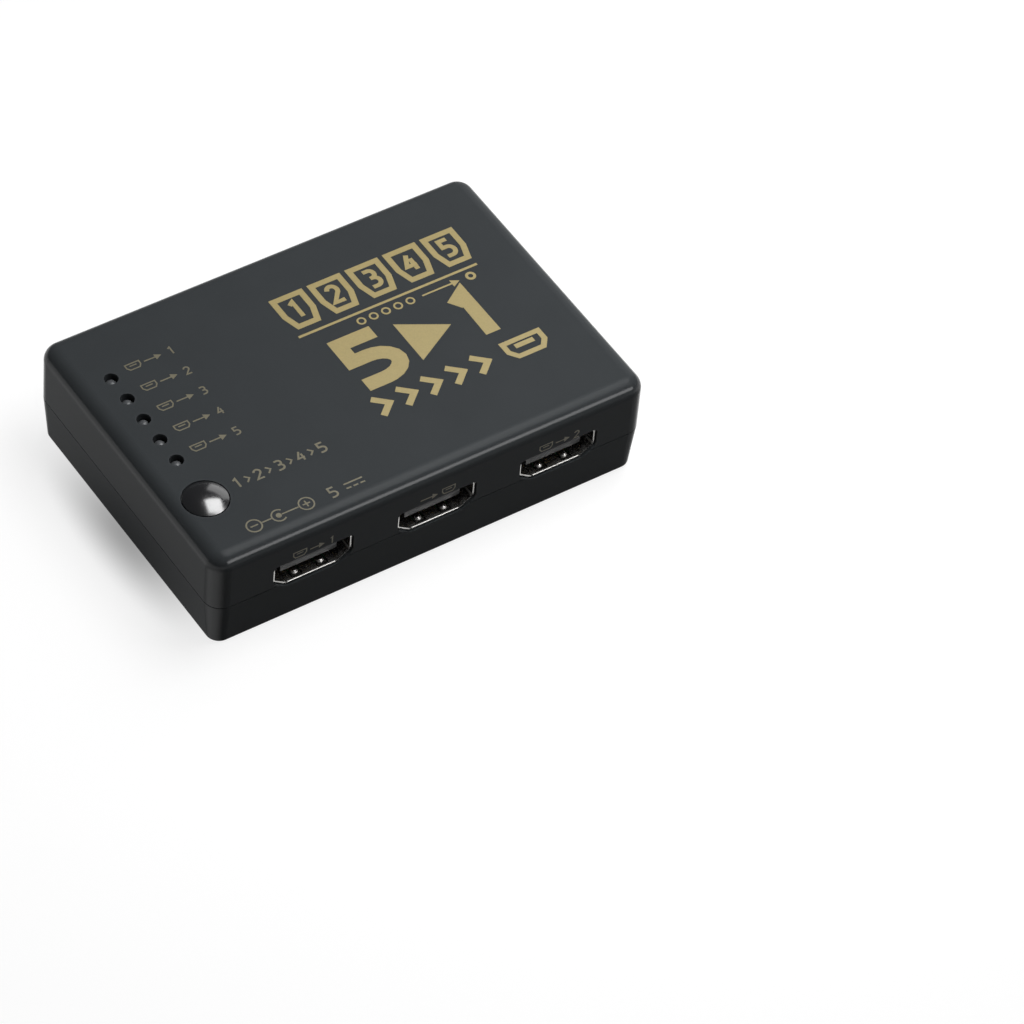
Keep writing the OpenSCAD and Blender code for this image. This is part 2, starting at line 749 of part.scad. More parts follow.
// Socket shell: folded plate tube with spring fingers above and below, and four legs into the board
module socket_shell() {
    color("#b9bcc0") {
        difference() {
            inwards(socket_depth) socket_shape(0);
            translate([0, -1, 0]) inwards(socket_depth + 2) socket_shape(plate_t);
            for (x = [-1, 1], z = [-plate_t, socket_h - 2 * plate_t]) translate([x * spring_x, 0, z]) spring_slit();
            lip_chamfer(socket_w - 2 * slant_w - bend_r);
            translate([0, 0, socket_h]) mirror([0, 0, 1]) lip_chamfer(socket_w - 2 * bend_r);
        }
        for (x = [-1, 1]) {
            translate([x * spring_x, 0, plate_t]) spring_dimple();
            translate([x * spring_x, 0, socket_h - plate_t]) mirror([0, 0, 1]) spring_dimple();
        }
        at_socket_legs() translate([-plate_t / 2, -leg_w / 2, -board_t - leg_out])
            cube([plate_t, leg_w, board_t + leg_out + socket_h / 2]);
    }
}

// Levels of the two rows of contacts: number in the row and height of its lower face
function contact_rows() = [[10, tongue_z + tongue_t], [9, tongue_z - contact_t]];
module at_contacts() {
    for (row = contact_rows(), i = [0:row[0] - 1])
        translate([(i - (row[0] - 1) / 2) * contact_pitch, 0, 0]) {
            $level = row[1];
            children();
        }
}

// Socket insulator: the block that closes the shell's rear, with the tongue that carries the contacts
module socket_insulator() {
    c = tongue_chamfer;
    color("#161617") difference() {
        union() {
            translate([0, block_y, 0]) inwards(block_depth) socket_shape(plate_t + block_gap);
            sideways(tongue_w) polygon([
                [tongue_back, tongue_z + c], [tongue_back + c, tongue_z], [block_y + eps, tongue_z],
                [block_y + eps, tongue_z + tongue_t], [tongue_back + c, tongue_z + tongue_t],
                [tongue_back, tongue_z + tongue_t - c]
            ]);
        }
        at_contacts() translate([-contact_w / 2, block_y - eps, $level])
            cube([contact_w, block_depth + 1, contact_t]);
    }
}

// Socket contacts: two rows of strips along the tongue, led down to the board behind the block
module socket_contacts() {
    y0 = tongue_back + contact_back;
    t = contact_t;
    color("#c9a24e") at_contacts() sideways(contact_w) polygon([
        [y0, $level], [y0, $level + t], [tail_y + t, $level + t], [tail_y + t, t],
        [tail_end, t], [tail_end, 0], [tail_y, 0], [tail_y, $level]
    ]);
}

// Lamps

// Lamp: a round-topped lens with a collar at its foot
module led(i) {
    color("#9aa0a2") at_led(i) translate([0, 0, led_z]) {
        cylinder(r = led_r, h = led_h - led_r);
        translate([0, 0, led_h - led_r]) sphere(led_r);
        cylinder(r = led_r + led_collar, h = led_collar_h);
    }
}

// Spacer tubes that carry the lamps above the board
module led_spacers() {
    slot_l = led_leg_pitch + led_leg_t + 2 * leg_gap;
    slot_w = led_leg_t + 2 * leg_gap;
    color("#d9d7cf") at_leds() difference() {
        translate([0, 0, board_z]) cylinder(d = spacer_d, h = led_z - board_z);
        translate([-slot_w / 2, -slot_l / 2, board_z - 1]) cube([slot_w, slot_l, led_z - board_z + 2]);
    }
}

// Legs of the lamps, down through the spacers and the board
module led_legs() {
    z0 = board_z0 - leg_out;
    color("#b4b6b8") at_leds() at_led_legs() translate([-led_leg_t / 2, -led_leg_t / 2, z0])
        cube([led_leg_t, led_leg_t, led_z - z0]);
}

// Select button and its switch

// Button: domed cap, flange that stays under the top wall, stem down to the switch
module select_button() {
    rim_z = case_h + button_proud;
    hole_r = button_d / 2 + button_gap;
    flange_r = hole_r + flange_w;
    side = button_end - wall - flange_gap;
    color("#0e0f11") at_button() {
        intersection() {
            translate([0, 0, flange_z]) cylinder(d = button_d, h = rim_z + crown_h - flange_z + 1);
            translate([0, 0, rim_z + crown_h - crown_r]) sphere(crown_r, $fn = 200);
        }
        intersection() {
            translate([0, 0, flange_z]) cylinder(r = flange_r, h = flange_t);
            translate([-min(side, flange_r + 1), -flange_r - 1, flange_z - 1])
                cube([min(side, flange_r + 1) + flange_r + 1, 2 * flange_r + 2, flange_t + 2]);
        }
        translate([0, 0, plunger_z]) cylinder(d = stem_d, h = flange_z - plunger_z + eps);
    }
}

// Plunger of the tact switch, with the skirt that stays under its cover
module switch_plunger() {
    color("#2b2b2d") at_button() {
        translate([0, 0, skirt_z]) cylinder(d = skirt_d, h = skirt_t);
        translate([0, 0, skirt_z]) cylinder(d = plunger_d, h = plunger_z - skirt_z);
    }
}

// Snap dome: a thin round spring plate, bowed up under the plunger
module switch_dome() {
    z0 = board_z + switch_floor;
    color("#aeb1b4") at_button() intersection() {
        translate([0, 0, z0 + dome_h - dome_r]) difference() {
            sphere(dome_r);
            sphere(dome_r - dome_t);
        }
        translate([0, 0, z0]) cylinder(d = dome_d, h = dome_h + 1);
    }
}

// Base of the tact switch, with the round space for the dome and the plunger's skirt
module switch_base() {
    color("#232325") at_button() difference() {
        translate([-switch_w / 2, -switch_w / 2, board_z]) cube([switch_w, switch_w, switch_base_h]);
        translate([0, 0, board_z + switch_floor]) cylinder(d = switch_bore_d, h = switch_base_h);
    }
}

// Metal cover of the tact switch
module switch_cover() {
    color("#a5a8ab") at_button() difference() {
        translate([-switch_w / 2, -switch_w / 2, board_z + switch_base_h]) cube([switch_w, switch_w, switch_cover_t]);
        translate([0, 0, board_z + switch_base_h - 1])
            cylinder(d = plunger_d + 2 * plunger_gap, h = switch_cover_t + 2);
    }
}

// Legs of the tact switch, beside its base and down through the board
module switch_legs() {
    z0 = board_z0 - leg_out;
    color("#b4b6b8") at_button() at_switch_legs() translate([-switch_leg_t / 2, -switch_leg_w / 2, z0])
        cube([switch_leg_t, switch_leg_w, board_z + switch_leg_h - z0]);
}

// Jacks

// Body of a jack: a block on the board with a round nose through the wall, bored from its mouth
module jack_body(depth, bore_d, back) {
    nose_l = nose_x - jack_x;
    difference() {
        union() {
            translate([-depth, -jack_w / 2, -jack_h / 2]) cube([depth, jack_w, jack_h]);
            translate([-eps, 0, 0]) rotate([0, 90, 0]) cylinder(d = nose_d, h = nose_l + eps);
        }
        translate([back - depth, 0, 0]) rotate([0, 90, 0]) cylinder(d = bore_d, h = depth - back + nose_l + 1);
    }
}

// Solder tabs under a jack's body, down through the board
module jack_tabs(depth) {
    at_tabs(depth) translate([-tab_t / 2, -tab_w / 2, -board_t - leg_out]) cube([tab_t, tab_w, board_t + leg_out]);
}

// Power jack's body
module power_jack_body() {
    color("#18191b") at_jack(1) difference() {
        jack_body(power_depth, power_bore_d, power_back);
        translate([-power_depth - 1, 0, 0]) rotate([0, 90, 0]) cylinder(d = pin_d + 2 * pin_gap, h = power_back + 2);
    }
}

// Power jack's pin, with its leg behind the body
module power_jack_pin() {
    nose_l = nose_x - jack_x;
    low = jack_h / 2 + board_t + leg_out;
    color("#c4c6c8") at_jack(1) translate([-power_depth, 0, 0]) {
        translate([-eps, 0, 0]) rotate([0, 90, 0]) cylinder(d = pin_d, h = power_depth + nose_l - pin_back - pin_d / 2 + eps);
        translate([power_depth + nose_l - pin_back - pin_d / 2, 0, 0]) sphere(d = pin_d);
        translate([-tab_t, -tab_w / 2, -low]) cube([tab_t, tab_w, low + pin_d]);
    }
}

// Power jack's solder tabs
module power_jack_contacts() {
    color("#b4b6b8") at_jack(1) jack_tabs(power_depth);
}

// Eye jack's body
module eye_jack_body() {
    color("#18191b") at_jack(-1) jack_body(eye_depth, eye_bore_d, eye_back);
}

// Eye jack's solder tabs
module eye_jack_contacts() {
    color("#b4b6b8") at_jack(-1) jack_tabs(eye_depth);
}

// Chips

// One lead bent down to the board, drawn outwards from a body's side at x = 0, with its upper face at height h
module lead(h, w) {
    t = lead_t;
    a = lead_reach;
    rotate([90, 0, 0]) translate([0, 0, -w / 2]) linear_extrude(w) polygon([
        [0, h], [a + t, h], [a + t, t], [a + t + lead_foot, t], [a + t + lead_foot, 0], [a, 0], [a, h - t], [0, h - t]
    ]);
}

// Row of leads along the right side of a body
module lead_row(count, pitch, h, w) {
    for (i = [0:count - 1]) translate([0, (i - (count - 1) / 2) * pitch, 0]) lead(h, w);
}

// Places of the chips on the board
module at_switch_chip() {
    translate([socket_shift, 0, board_z]) children();
}
module at_control_chip() {
    translate([socket_shift - control_shift, chip_w / 2 - control_w / 2, board_z]) children();
}
module at_regulator() {
    translate([socket_shift + reg_shift, chip_w / 2 - reg_w / 2, board_z]) children();
}

// Video switching chip
module switch_chip() {
    color("#1a1a1c") at_switch_chip() translate([-chip_w / 2, -chip_w / 2, chip_lift])
        cube([chip_w, chip_w, chip_h - chip_lift]);
}
module switch_chip_leads() {
    color("#bfc1c3") at_switch_chip() for (k = [0:3]) rotate([0, 0, 90 * k]) translate([chip_w / 2, 0, 0])
        lead_row(chip_lead_count, chip_pitch, chip_h / 2, chip_lead_w);
}

// Controller
module control_chip() {
    color("#1a1a1c") at_control_chip() translate([-control_l / 2, -control_w / 2, chip_lift])
        cube([control_l, control_w, control_h - chip_lift]);
}
module control_chip_leads() {
    color("#bfc1c3") at_control_chip() for (a = [90, 270]) rotate([0, 0, a]) translate([control_w / 2, 0, 0])
        lead_row(control_lead_count, control_pitch, control_h / 2, control_lead_w);
}

// Regulator, with three leads on one side and its cooling tab on the other
module regulator() {
    color("#1a1a1c") at_regulator() translate([-reg_l / 2, -reg_w / 2, chip_lift])
        cube([reg_l, reg_w, reg_h - chip_lift]);
}
module regulator_leads() {
    color("#bfc1c3") at_regulator() {
        rotate([0, 0, 270]) translate([reg_w / 2, 0, 0]) lead_row(3, reg_pitch, reg_h / 2, reg_lead_w);
        rotate([0, 0, 90]) translate([reg_w / 2, 0, 0]) lead_row(1, reg_pitch, reg_h / 2, reg_tab_w);
    }
}

// Small parts

// Crystal: a low can with round ends and a rim at its foot, between two sockets
module crystal() {
    color("#b9bcbe") translate([socket_shift - socket_pitch / 2, -front_row, board_z]) {
        can(crystal_l, crystal_w, crystal_h);
        can(crystal_l + 2 * crystal_rim, crystal_w + 2 * crystal_rim, crystal_rim_t);
    }
}
module can(l, w, h) {
    translate([(w - l) / 2, -w / 2, 0]) cube([l - w, w, h]);
    for (a = [90, 270]) translate([(a == 270 ? 1 : -1) * (l - w) / 2, 0, 0]) rotate([0, 0, a])
        rotate_extrude(angle = 180) square([w / 2, h]);
}

// Can capacitors: round cans on square bases, between two sockets
module can_capacitors() {
    for (x = [-1, 1]) translate([socket_shift + (socket_pitch + x * can_pitch) / 2, -front_row, board_z]) {
        color("#2a2a2c") translate([-can_base / 2, -can_base / 2, 0]) cube([can_base, can_base, can_base_h]);
        color("#b9bcbe") translate([0, 0, can_base_h - eps]) cylinder(d = can_d, h = can_h - can_base_h + eps);
    }
}

// Chip capacitors: a row on the left and a row on the right of the video switching chip
module chip_capacitors() {
    color("#9a7f5c") for (x = [-1, 1], i = [-1:1])
        translate([socket_shift + x * (chip_span + row_gap / 2 + small_w / 2) - small_w / 2, i * small_pitch - small_l / 2, board_z])
            cube([small_w, small_l, small_cap_h]);
}

// Chip resistors: a row of three behind each socket
module chip_resistors() {
    color("#1f1f21") for (s = SOCKETS, i = [-1:1])
        translate([
            socket_shift + s[1] * socket_pitch + i * small_pitch - small_w / 2,
            (s[2] == "front" ? -1 : 1) * res_y - small_l / 2, board_z
        ]) cube([small_w, small_l, small_res_h]);
}

// Surge protectors: a pair behind each socket's tails
module esd_chips() {
    color("#1f1f21") for (s = SOCKETS, x = [-1, 1])
        translate([
            socket_shift + s[1] * socket_pitch + x * (esd_l + row_gap) / 2 - esd_l / 2,
            (s[2] == "front" ? -1 : 1) * esd_y - esd_w / 2, board_z
        ]) cube([esd_l, esd_w, esd_h]);
}

lower_shell();
upper_shell();
case_screws();
main_board();
select_button();
switch_plunger();
switch_dome();
switch_base();
switch_cover();
switch_legs();
led_spacers();
led_legs();
power_jack_body();
power_jack_pin();
power_jack_contacts();
eye_jack_body();
eye_jack_contacts();
switch_chip();
switch_chip_leads();
control_chip();
control_chip_leads();
regulator();
regulator_leads();
crystal();
can_capacitors();
chip_capacitors();
chip_resistors();
esd_chips();
for (i = [1:led_count]) {
    led(i);
}
for (s = SOCKETS) {
    at_socket(s) socket_shell();
    at_socket(s) socket_insulator();
    at_socket(s) socket_contacts();
}
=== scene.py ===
"""Looks of the video switch box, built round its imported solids, in metres."""
import math

import bpy
import numpy as np
from mathutils import Matrix, Vector


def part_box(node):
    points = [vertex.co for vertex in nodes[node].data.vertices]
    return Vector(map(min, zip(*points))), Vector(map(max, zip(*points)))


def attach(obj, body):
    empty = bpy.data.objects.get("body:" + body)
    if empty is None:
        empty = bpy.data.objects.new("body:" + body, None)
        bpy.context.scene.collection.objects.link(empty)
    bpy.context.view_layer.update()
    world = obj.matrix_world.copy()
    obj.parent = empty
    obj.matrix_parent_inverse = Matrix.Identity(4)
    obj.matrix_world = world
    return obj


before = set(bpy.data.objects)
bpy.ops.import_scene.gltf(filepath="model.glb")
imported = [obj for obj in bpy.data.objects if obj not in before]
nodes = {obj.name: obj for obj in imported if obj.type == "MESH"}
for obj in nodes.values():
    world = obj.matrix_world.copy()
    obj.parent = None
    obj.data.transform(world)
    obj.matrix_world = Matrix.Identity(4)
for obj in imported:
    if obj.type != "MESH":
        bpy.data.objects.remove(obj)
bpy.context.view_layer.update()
MM = 0.001

# Camera
# A long lens on a stand, looking down on the near left corner of the box.
# Its place was worked out from the outline of the case in the photograph.
VIEW_TURN, VIEW_LIFT, VIEW_ROLL = (math.radians(a) for a in (-37.3376, 47.392, 5.7069))
VIEW_DISTANCE, AIM_ACROSS, AIM_UP = 950.4744 * MM, 29.6296 * MM, -11.2430 * MM
LENS, SENSOR, NEAREST, FURTHEST = 195.83, 36.0, 0.01, 50

towards = Vector((math.sin(VIEW_TURN) * math.cos(VIEW_LIFT), -math.cos(VIEW_TURN) * math.cos(VIEW_LIFT),
                  math.sin(VIEW_LIFT)))
level = Vector((math.cos(VIEW_TURN), math.sin(VIEW_TURN), 0))
steep = towards.cross(level)
across = math.cos(VIEW_ROLL) * level + math.sin(VIEW_ROLL) * steep
upward = math.cos(VIEW_ROLL) * steep - math.sin(VIEW_ROLL) * level
stand = across * AIM_ACROSS + upward * AIM_UP + towards * VIEW_DISTANCE
lens = bpy.data.cameras.new("camera")
lens.lens, lens.sensor_width, lens.sensor_height, lens.sensor_fit = LENS, SENSOR, SENSOR, "HORIZONTAL"
lens.clip_start, lens.clip_end = NEAREST, FURTHEST
camera = bpy.data.objects.new("camera", lens)
camera.matrix_world = Matrix((
    (across.x, upward.x, towards.x, stand.x),
    (across.y, upward.y, towards.y, stand.y),
    (across.z, upward.z, towards.z, stand.z),
    (0, 0, 0, 1),
))
bpy.context.scene.collection.objects.link(camera)
bpy.context.scene.camera = camera
bpy.context.scene.view_settings.view_transform = "Standard"

# Beside the left side of the box the table's glow is painted darker: a painted shadow that deepens the cast one.
# Table and light
# A white table top in a small studio: a soft box, a panel and a low fill give the light and most of the soft
# shadow.
# Three white cards stand round the box only to be mirrored in its polished edges, button and metal.
TABLE_SIZE, TABLE_DROP = 12.0, 0.02 * MM
TABLE_SEEN, TABLE_BOUNCE = (0.2, 0.2, 0.2, 1), (0.1, 0.1, 0.1, 1)
# Painted shadow: the table glows less round a point at the middle of the box's left side, out to a reach.
PAINTED_SHADOW_MIDDLE, PAINTED_SHADOW_STRETCH, PAINTED_SHADOW_REACH = (-42.0 * MM, 0, 0), (1, 0.3, 0), 8.5 * MM
PAINTED_SHADOW_GLOW, OPEN_GLOW = 0.32, 0.82
# Place, aim and two sides in millimetres, then watts
SOFT_LIGHTS = {
    "soft_box": ((75, -39, 266), (-36, -15, 21), 145, 145, 0.64),
    "panel": ((200, 100, 300), (0, 0, 20), 260, 260, 0.66),
    "left_fill": ((-553, 300, 100), (-43, 0, 10), 300, 300, 0.72),
}
GLOSS_CARDS = {
    "button_card": ((66, -38, 247), (-36, -15, 21), 190, 190, 1.13),
    "front_card": ((199, -508, 249), (0, 0, 0), 360, 170, 1.0),
    "rear_card": ((450, 301, 176), (-36, -15, 21), 440, 440, 0.91),
}
ROOM_COLOUR, ROOM_STRENGTH = (0.93, 0.97, 1.0, 1), 0.07


def place(tree, kind, values=(), **settings):
    """A node of that kind with its settings; its inputs are set to numbers or linked from sockets."""
    node = tree.nodes.new(kind)
    for setting, value in settings.items():
        setattr(node, setting, value)
    for key, value in dict(values).items():
        if isinstance(value, bpy.types.NodeSocket):
            tree.links.new(value, node.inputs[key])
        else:
            node.inputs[key].default_value = value
    return node


def calc(tree, operation, *terms, clamp=False):
    """The result of one operation on its terms, each a number or a socket."""
    return place(tree, "ShaderNodeMath", enumerate(terms), operation=operation, use_clamp=clamp).outputs[0]


def vector(tree, operation, *terms, result="Vector"):
    """The result of one vector operation on its terms, each a triple or a socket."""
    return place(tree, "ShaderNodeVectorMath", enumerate(terms), operation=operation).outputs[result]


def spread(tree, value, low, high, start=0.0, end=1.0, eased=False):
    """The way of a value from start to end, straight or eased, laid out from low to high."""
    keys = {"Value": value, "From Min": start, "From Max": end, "To Min": low, "To Max": high}
    curve = "SMOOTHSTEP" if eased else "LINEAR"
    return place(tree, "ShaderNodeMapRange", keys, interpolation_type=curve).outputs["Result"]


def blend(tree, share, first, second):
    """Two colours mixed, from all of the first at a share of 0 to all of the second at 1."""
    keys = {"Factor": share, "A": first, "B": second}
    return place(tree, "ShaderNodeMix", keys, data_type="RGBA").outputs["Result"]


def on_object(tree):
    """The shaded point in Object coordinates."""
    return place(tree, "ShaderNodeTexCoord").outputs["Object"]


table_mesh = bpy.data.meshes.new("table")
half = TABLE_SIZE / 2
table_corners = ((-half, -half), (half, -half), (half, half), (-half, half))
table_mesh.from_pydata([(x, y, -TABLE_DROP) for x, y in table_corners], [], [(0, 1, 2, 3)])
table = bpy.data.objects.new("table", table_mesh)
bpy.context.scene.collection.objects.link(table)
table_white = bpy.data.materials.new("table_white")
table_white.use_nodes = True
tree = table_white.node_tree
tree.nodes.clear()
ray = place(tree, "ShaderNodeLightPath").outputs
seen = calc(tree, "MAXIMUM", ray["Is Camera Ray"], ray["Is Glossy Ray"])
seen = calc(tree, "MAXIMUM", seen, ray["Is Transmission Ray"])
# Painted shadow: the glow rises from its painted shadow level beside the box's left side to the open level
# further out.
off = vector(tree, "SUBTRACT", on_object(tree), PAINTED_SHADOW_MIDDLE)
from_painted_shadow = vector(tree, "LENGTH", vector(tree, "MULTIPLY", off, PAINTED_SHADOW_STRETCH), result="Value")
rise = spread(tree, from_painted_shadow, PAINTED_SHADOW_GLOW, OPEN_GLOW, end=PAINTED_SHADOW_REACH, eased=True)
matt = place(tree, "ShaderNodeBsdfDiffuse", {"Color": blend(tree, seen, TABLE_BOUNCE, TABLE_SEEN)})
glow_with_painted_shadow = place(tree, "ShaderNodeEmission", {"Strength": calc(tree, "MULTIPLY", seen, rise)})
both = place(tree, "ShaderNodeAddShader", {0: matt.outputs[0], 1: glow_with_painted_shadow.outputs[0]})
place(tree, "ShaderNodeOutputMaterial", {"Surface": both.outputs[0]})
table_mesh.materials.append(table_white)

for name, (spot, target, wide, high, watts) in (SOFT_LIGHTS | GLOSS_CARDS).items():
    lamp = bpy.data.lights.new(name, "AREA")
    lamp.shape, lamp.size, lamp.size_y, lamp.energy = "RECTANGLE", wide * MM, high * MM, watts
    hung = bpy.data.objects.new(name, lamp)
    hung.location = Vector(spot) * MM
    hung.rotation_euler = (Vector(spot) - Vector(target)).to_track_quat("Z", "Y").to_euler()
    hung.visible_glossy, hung.visible_diffuse = name in GLOSS_CARDS, name in SOFT_LIGHTS
    bpy.context.scene.collection.objects.link(hung)
room = bpy.data.worlds.new("room")
room.use_nodes = True
room.node_tree.nodes["Background"].inputs["Color"].default_value = ROOM_COLOUR
room.node_tree.nodes["Background"].inputs["Strength"].default_value = ROOM_STRENGTH
bpy.context.scene.world = room


# Case shells
# Two halves moulded in black ABS, fixed by four screws from below.
# Spark erosion of the mould leaves a fine satin grain, rubbed a little smoother along the edges.
CASE_BLACK, TONE_DRIFT, GLOSS_DRIFT = (0.0365, 0.040, 0.0425), (0.93, 1.07), 0.03
CASE_ROUGH, CASE_IOR = 0.24, 1.105
LOWER_ROUGH, LOWER_IOR = 0.34, 1.075
GRAIN, GRAIN_DEPTH, GRAIN_BUMP, DRIFT = 0.16 * MM, 0.004 * MM, 0.3, 12 * MM
RUB_WIDTH, RUB_GAIN, RUB_RAYS, RUB_PATCHES = 0.8 * MM, 5.0, 6, 900.0
RUB_LIGHTER, RUB_SMOOTHER = 1.3, 0.6
CREST_POLISH, CREST_ROUGH = 0.5, 0.16
CREST_FOOT, CREST_RISE, CREST_FALL = 0.3, 0.25, (0.72, 0.80)
CORNER_TURN, CORNER_TIP = (0.06, 0.4), 0.6
ABS_IOR = 1.45


def noise(tree, point, scale, detail, roughness=0.5, distortion=0.0):
    """Noise at a point: scale counts its grains in a metre, detail its finer layers."""
    keys = {"Vector": point, "Scale": scale, "Detail": detail, "Roughness": roughness,
            "Distortion": distortion}
    return place(tree, "ShaderNodeTexNoise", keys).outputs["Fac"]


def new_effect(name, inputs, outputs):
    """An empty shader group with the named value sockets: the group, what it is given and what it puts out."""
    group = bpy.data.node_groups.new(name, "ShaderNodeTree")
    for key, value in inputs.items():
        socket = group.interface.new_socket(key, in_out="INPUT", socket_type="NodeSocketFloat")
        socket.default_value = value
    for key in outputs:
        group.interface.new_socket(key, in_out="OUTPUT", socket_type="NodeSocketFloat")
    return group, group.nodes.new("NodeGroupInput").outputs, group.nodes.new("NodeGroupOutput").inputs


def spark_grain():
    """Fine moulded grain: noise on Object coordinates at the grain's size, and slow noise as a drift of tone."""
    group, given, put = new_effect("spark_grain", {"Grain": GRAIN, "Drift": DRIFT}, ("Height", "Drift"))
    point = on_object(group)
    fine = calc(group, "DIVIDE", 1.0, given["Grain"])
    slow = calc(group, "DIVIDE", 1.0, given["Drift"])
    group.links.new(noise(group, point, fine, 2.0, 0.6), put["Height"])
    group.links.new(noise(group, point, slow, 3.0, 0.55), put["Drift"])
    return group


def edge_rub():
    """Rubbed edges: how far the rounded normal leaves the true one, times a gain, broken up by noise."""
    group, given, put = new_effect("edge_rub", {"Width": RUB_WIDTH, "Gain": RUB_GAIN}, ("Mask",))
    rounded = place(group, "ShaderNodeBevel", {"Radius": given["Width"]}, samples=RUB_RAYS).outputs[0]
    true = place(group, "ShaderNodeNewGeometry").outputs["Normal"]
    turn = vector(group, "DOT_PRODUCT", rounded, true, result="Value")
    lift = calc(group, "MULTIPLY", calc(group, "SUBTRACT", 1.0, turn), given["Gain"])
    patches = noise(group, on_object(group), RUB_PATCHES, 3.0)
    group.links.new(calc(group, "MULTIPLY", lift, patches, clamp=True), put["Mask"])
    return group


def edge_crest():
    """Crest of a rounded edge, none on flats. On upper edges, from the upward share of the normal: full from a
    lean of 44 degrees down to 57 on the socket sides, and to 75 on the ends, where hands rub most. On upright
    corners, from the product of its two level shares, the endways one squared, fading as it tips up or down."""
    group, _, put = new_effect("edge_crest", {}, ("Mask",))
    true = place(group, "ShaderNodeNewGeometry").outputs["Normal"]
    share = place(group, "ShaderNodeSeparateXYZ", {0: true}).outputs
    endways, sideways, tipped = (calc(group, "ABSOLUTE", share[axis]) for axis in "XYZ")
    foot = calc(group, "MULTIPLY_ADD", endways, -CREST_FOOT, CREST_FOOT)
    rise = spread(group, share["Z"], 0.0, 1.0, foot, calc(group, "ADD", foot, CREST_RISE), eased=True)
    fall = spread(group, share["Z"], 1.0, 0.0, *CREST_FALL, eased=True)
    upper = calc(group, "MULTIPLY", rise, fall)
    product = calc(group, "MULTIPLY", calc(group, "MULTIPLY", endways, sideways), endways)
    turned = spread(group, product, 0.0, 1.0, *CORNER_TURN, eased=True)
    upright = calc(group, "MULTIPLY", turned, spread(group, tipped, 1.0, 0.0, end=CORNER_TIP, eased=True))
    group.links.new(calc(group, "MAXIMUM", upper, upright), put["Mask"])
    return group


GRAIN_EFFECT, RUB_EFFECT, CREST_EFFECT = spark_grain(), edge_rub(), edge_crest()


def effect(tree, group, **inputs):
    """What a shader group puts out, with the named inputs set."""
    return place(tree, "ShaderNodeGroup", inputs, node_tree=group).outputs


def shades(colour, low, high):
    """The colour at two strengths, as the two ends of a mix."""
    return tuple(c * low for c in colour) + (1,), tuple(c * high for c in colour) + (1,)


def bumped(tree, height, strength, depth):
    """The normal of a surface that a height from 0 to 1 lifts by a depth, at a strength."""
    keys = {"Strength": strength, "Distance": depth, "Height": height}
    return place(tree, "ShaderNodeBump", keys).outputs["Normal"]


def new_finish(name):
    """A new material, with its node tree and its surface."""
    finish = bpy.data.materials.new(name)
    finish.use_nodes = True
    return finish, finish.node_tree, finish.node_tree.nodes["Principled BSDF"]


def feed(tree, skin, sockets):
    """Links sockets to the inputs of a surface by their names."""
    for key, socket in sockets.items():
        tree.links.new(socket, skin.inputs[key])


def moulded(name, colour, rough, ior=ABS_IOR, grain=GRAIN, crest=0):
    """Moulded plastic: colour and gloss drift slowly and the grain stands up in bump. Rubbed edges are lighter
    and smoother, and a crest adds a polished coat along the rounded ones."""
    finish, tree, skin = new_finish(name)
    skin.inputs["IOR"].default_value = ior
    texture = effect(tree, GRAIN_EFFECT, Grain=grain)
    worn = effect(tree, RUB_EFFECT)["Mask"]
    tone = blend(tree, texture["Drift"], *shades(colour, *TONE_DRIFT))
    gloss = spread(tree, texture["Drift"], rough - GLOSS_DRIFT, rough + GLOSS_DRIFT)
    feed(tree, skin, {
        "Base Color": blend(tree, worn, tone, shades(colour, 1, RUB_LIGHTER)[1]),
        "Roughness": calc(tree, "MULTIPLY", gloss, spread(tree, worn, 1.0, RUB_SMOOTHER)),
        "Normal": bumped(tree, texture["Height"], GRAIN_BUMP, GRAIN_DEPTH),
    })
    if crest:
        skin.inputs["Coat Roughness"].default_value = CREST_ROUGH
        feed(tree, skin, {"Coat Weight": calc(tree, "MULTIPLY", effect(tree, CREST_EFFECT)["Mask"], crest)})
    return finish


def dress(finish, *names):
    """Gives the named CAD nodes one finish."""
    for name in names:
        nodes[name].data.materials.clear()
        nodes[name].data.materials.append(finish)


dress(moulded("case_black", CASE_BLACK, CASE_ROUGH, CASE_IOR, crest=CREST_POLISH), "upper_shell")
dress(moulded("case_black_lower", CASE_BLACK, LOWER_ROUGH, LOWER_IOR, crest=CREST_POLISH), "lower_shell")


# Circuit board
# Woven glass and resin, 1.6 mm thick, under a green solder mask, clamped between the standoffs and the bosses.
# The copper tracks under the mask show as paler, slightly raised lines.
MASK_GREEN, TRACK_GREEN = (0.016, 0.075, 0.036), (0.035, 0.16, 0.075)
MASK_COAT, MASK_ROUGH = 0.4, (0.28, 0.42)
TRACK_PITCH, TRACK_HEIGHT, TRACK_BUMP = 1.3 * MM, 0.02 * MM, 0.5
COURSE, COURSE_LENGTH, JOINT, JOINT_SOFT = 0.5, 2.6, 0.06, 0.3
WEAVE, WEAVE_HEIGHT = 0.4 * MM, 0.15


def copper_tracks():
    """Tracks under the mask: brick courses on Object coordinates, whose joints are the tracks; the height adds
    the weave, the product of two waves."""
    group, given, put = new_effect("copper_tracks", {"Pitch": TRACK_PITCH, "Weave": WEAVE}, ("Track", "Height"))
    point = on_object(group)
    bricks = place(group, "ShaderNodeTexBrick", {
        "Vector": point, "Scale": calc(group, "DIVIDE", COURSE, given["Pitch"]), "Row Height": COURSE,
        "Brick Width": COURSE_LENGTH, "Mortar Size": JOINT, "Mortar Smooth": JOINT_SOFT,
    }).outputs["Fac"]
    threads = calc(group, "DIVIDE", 1.0, given["Weave"])
    warp, weft = (place(group, "ShaderNodeTexWave", {"Vector": point, "Scale": threads},
                        bands_direction=way).outputs["Fac"] for way in "XY")
    weave = calc(group, "MULTIPLY", warp, weft)
    group.links.new(bricks, put["Track"])
    group.links.new(calc(group, "MULTIPLY_ADD", weave, WEAVE_HEIGHT, bricks), put["Height"])
    return group


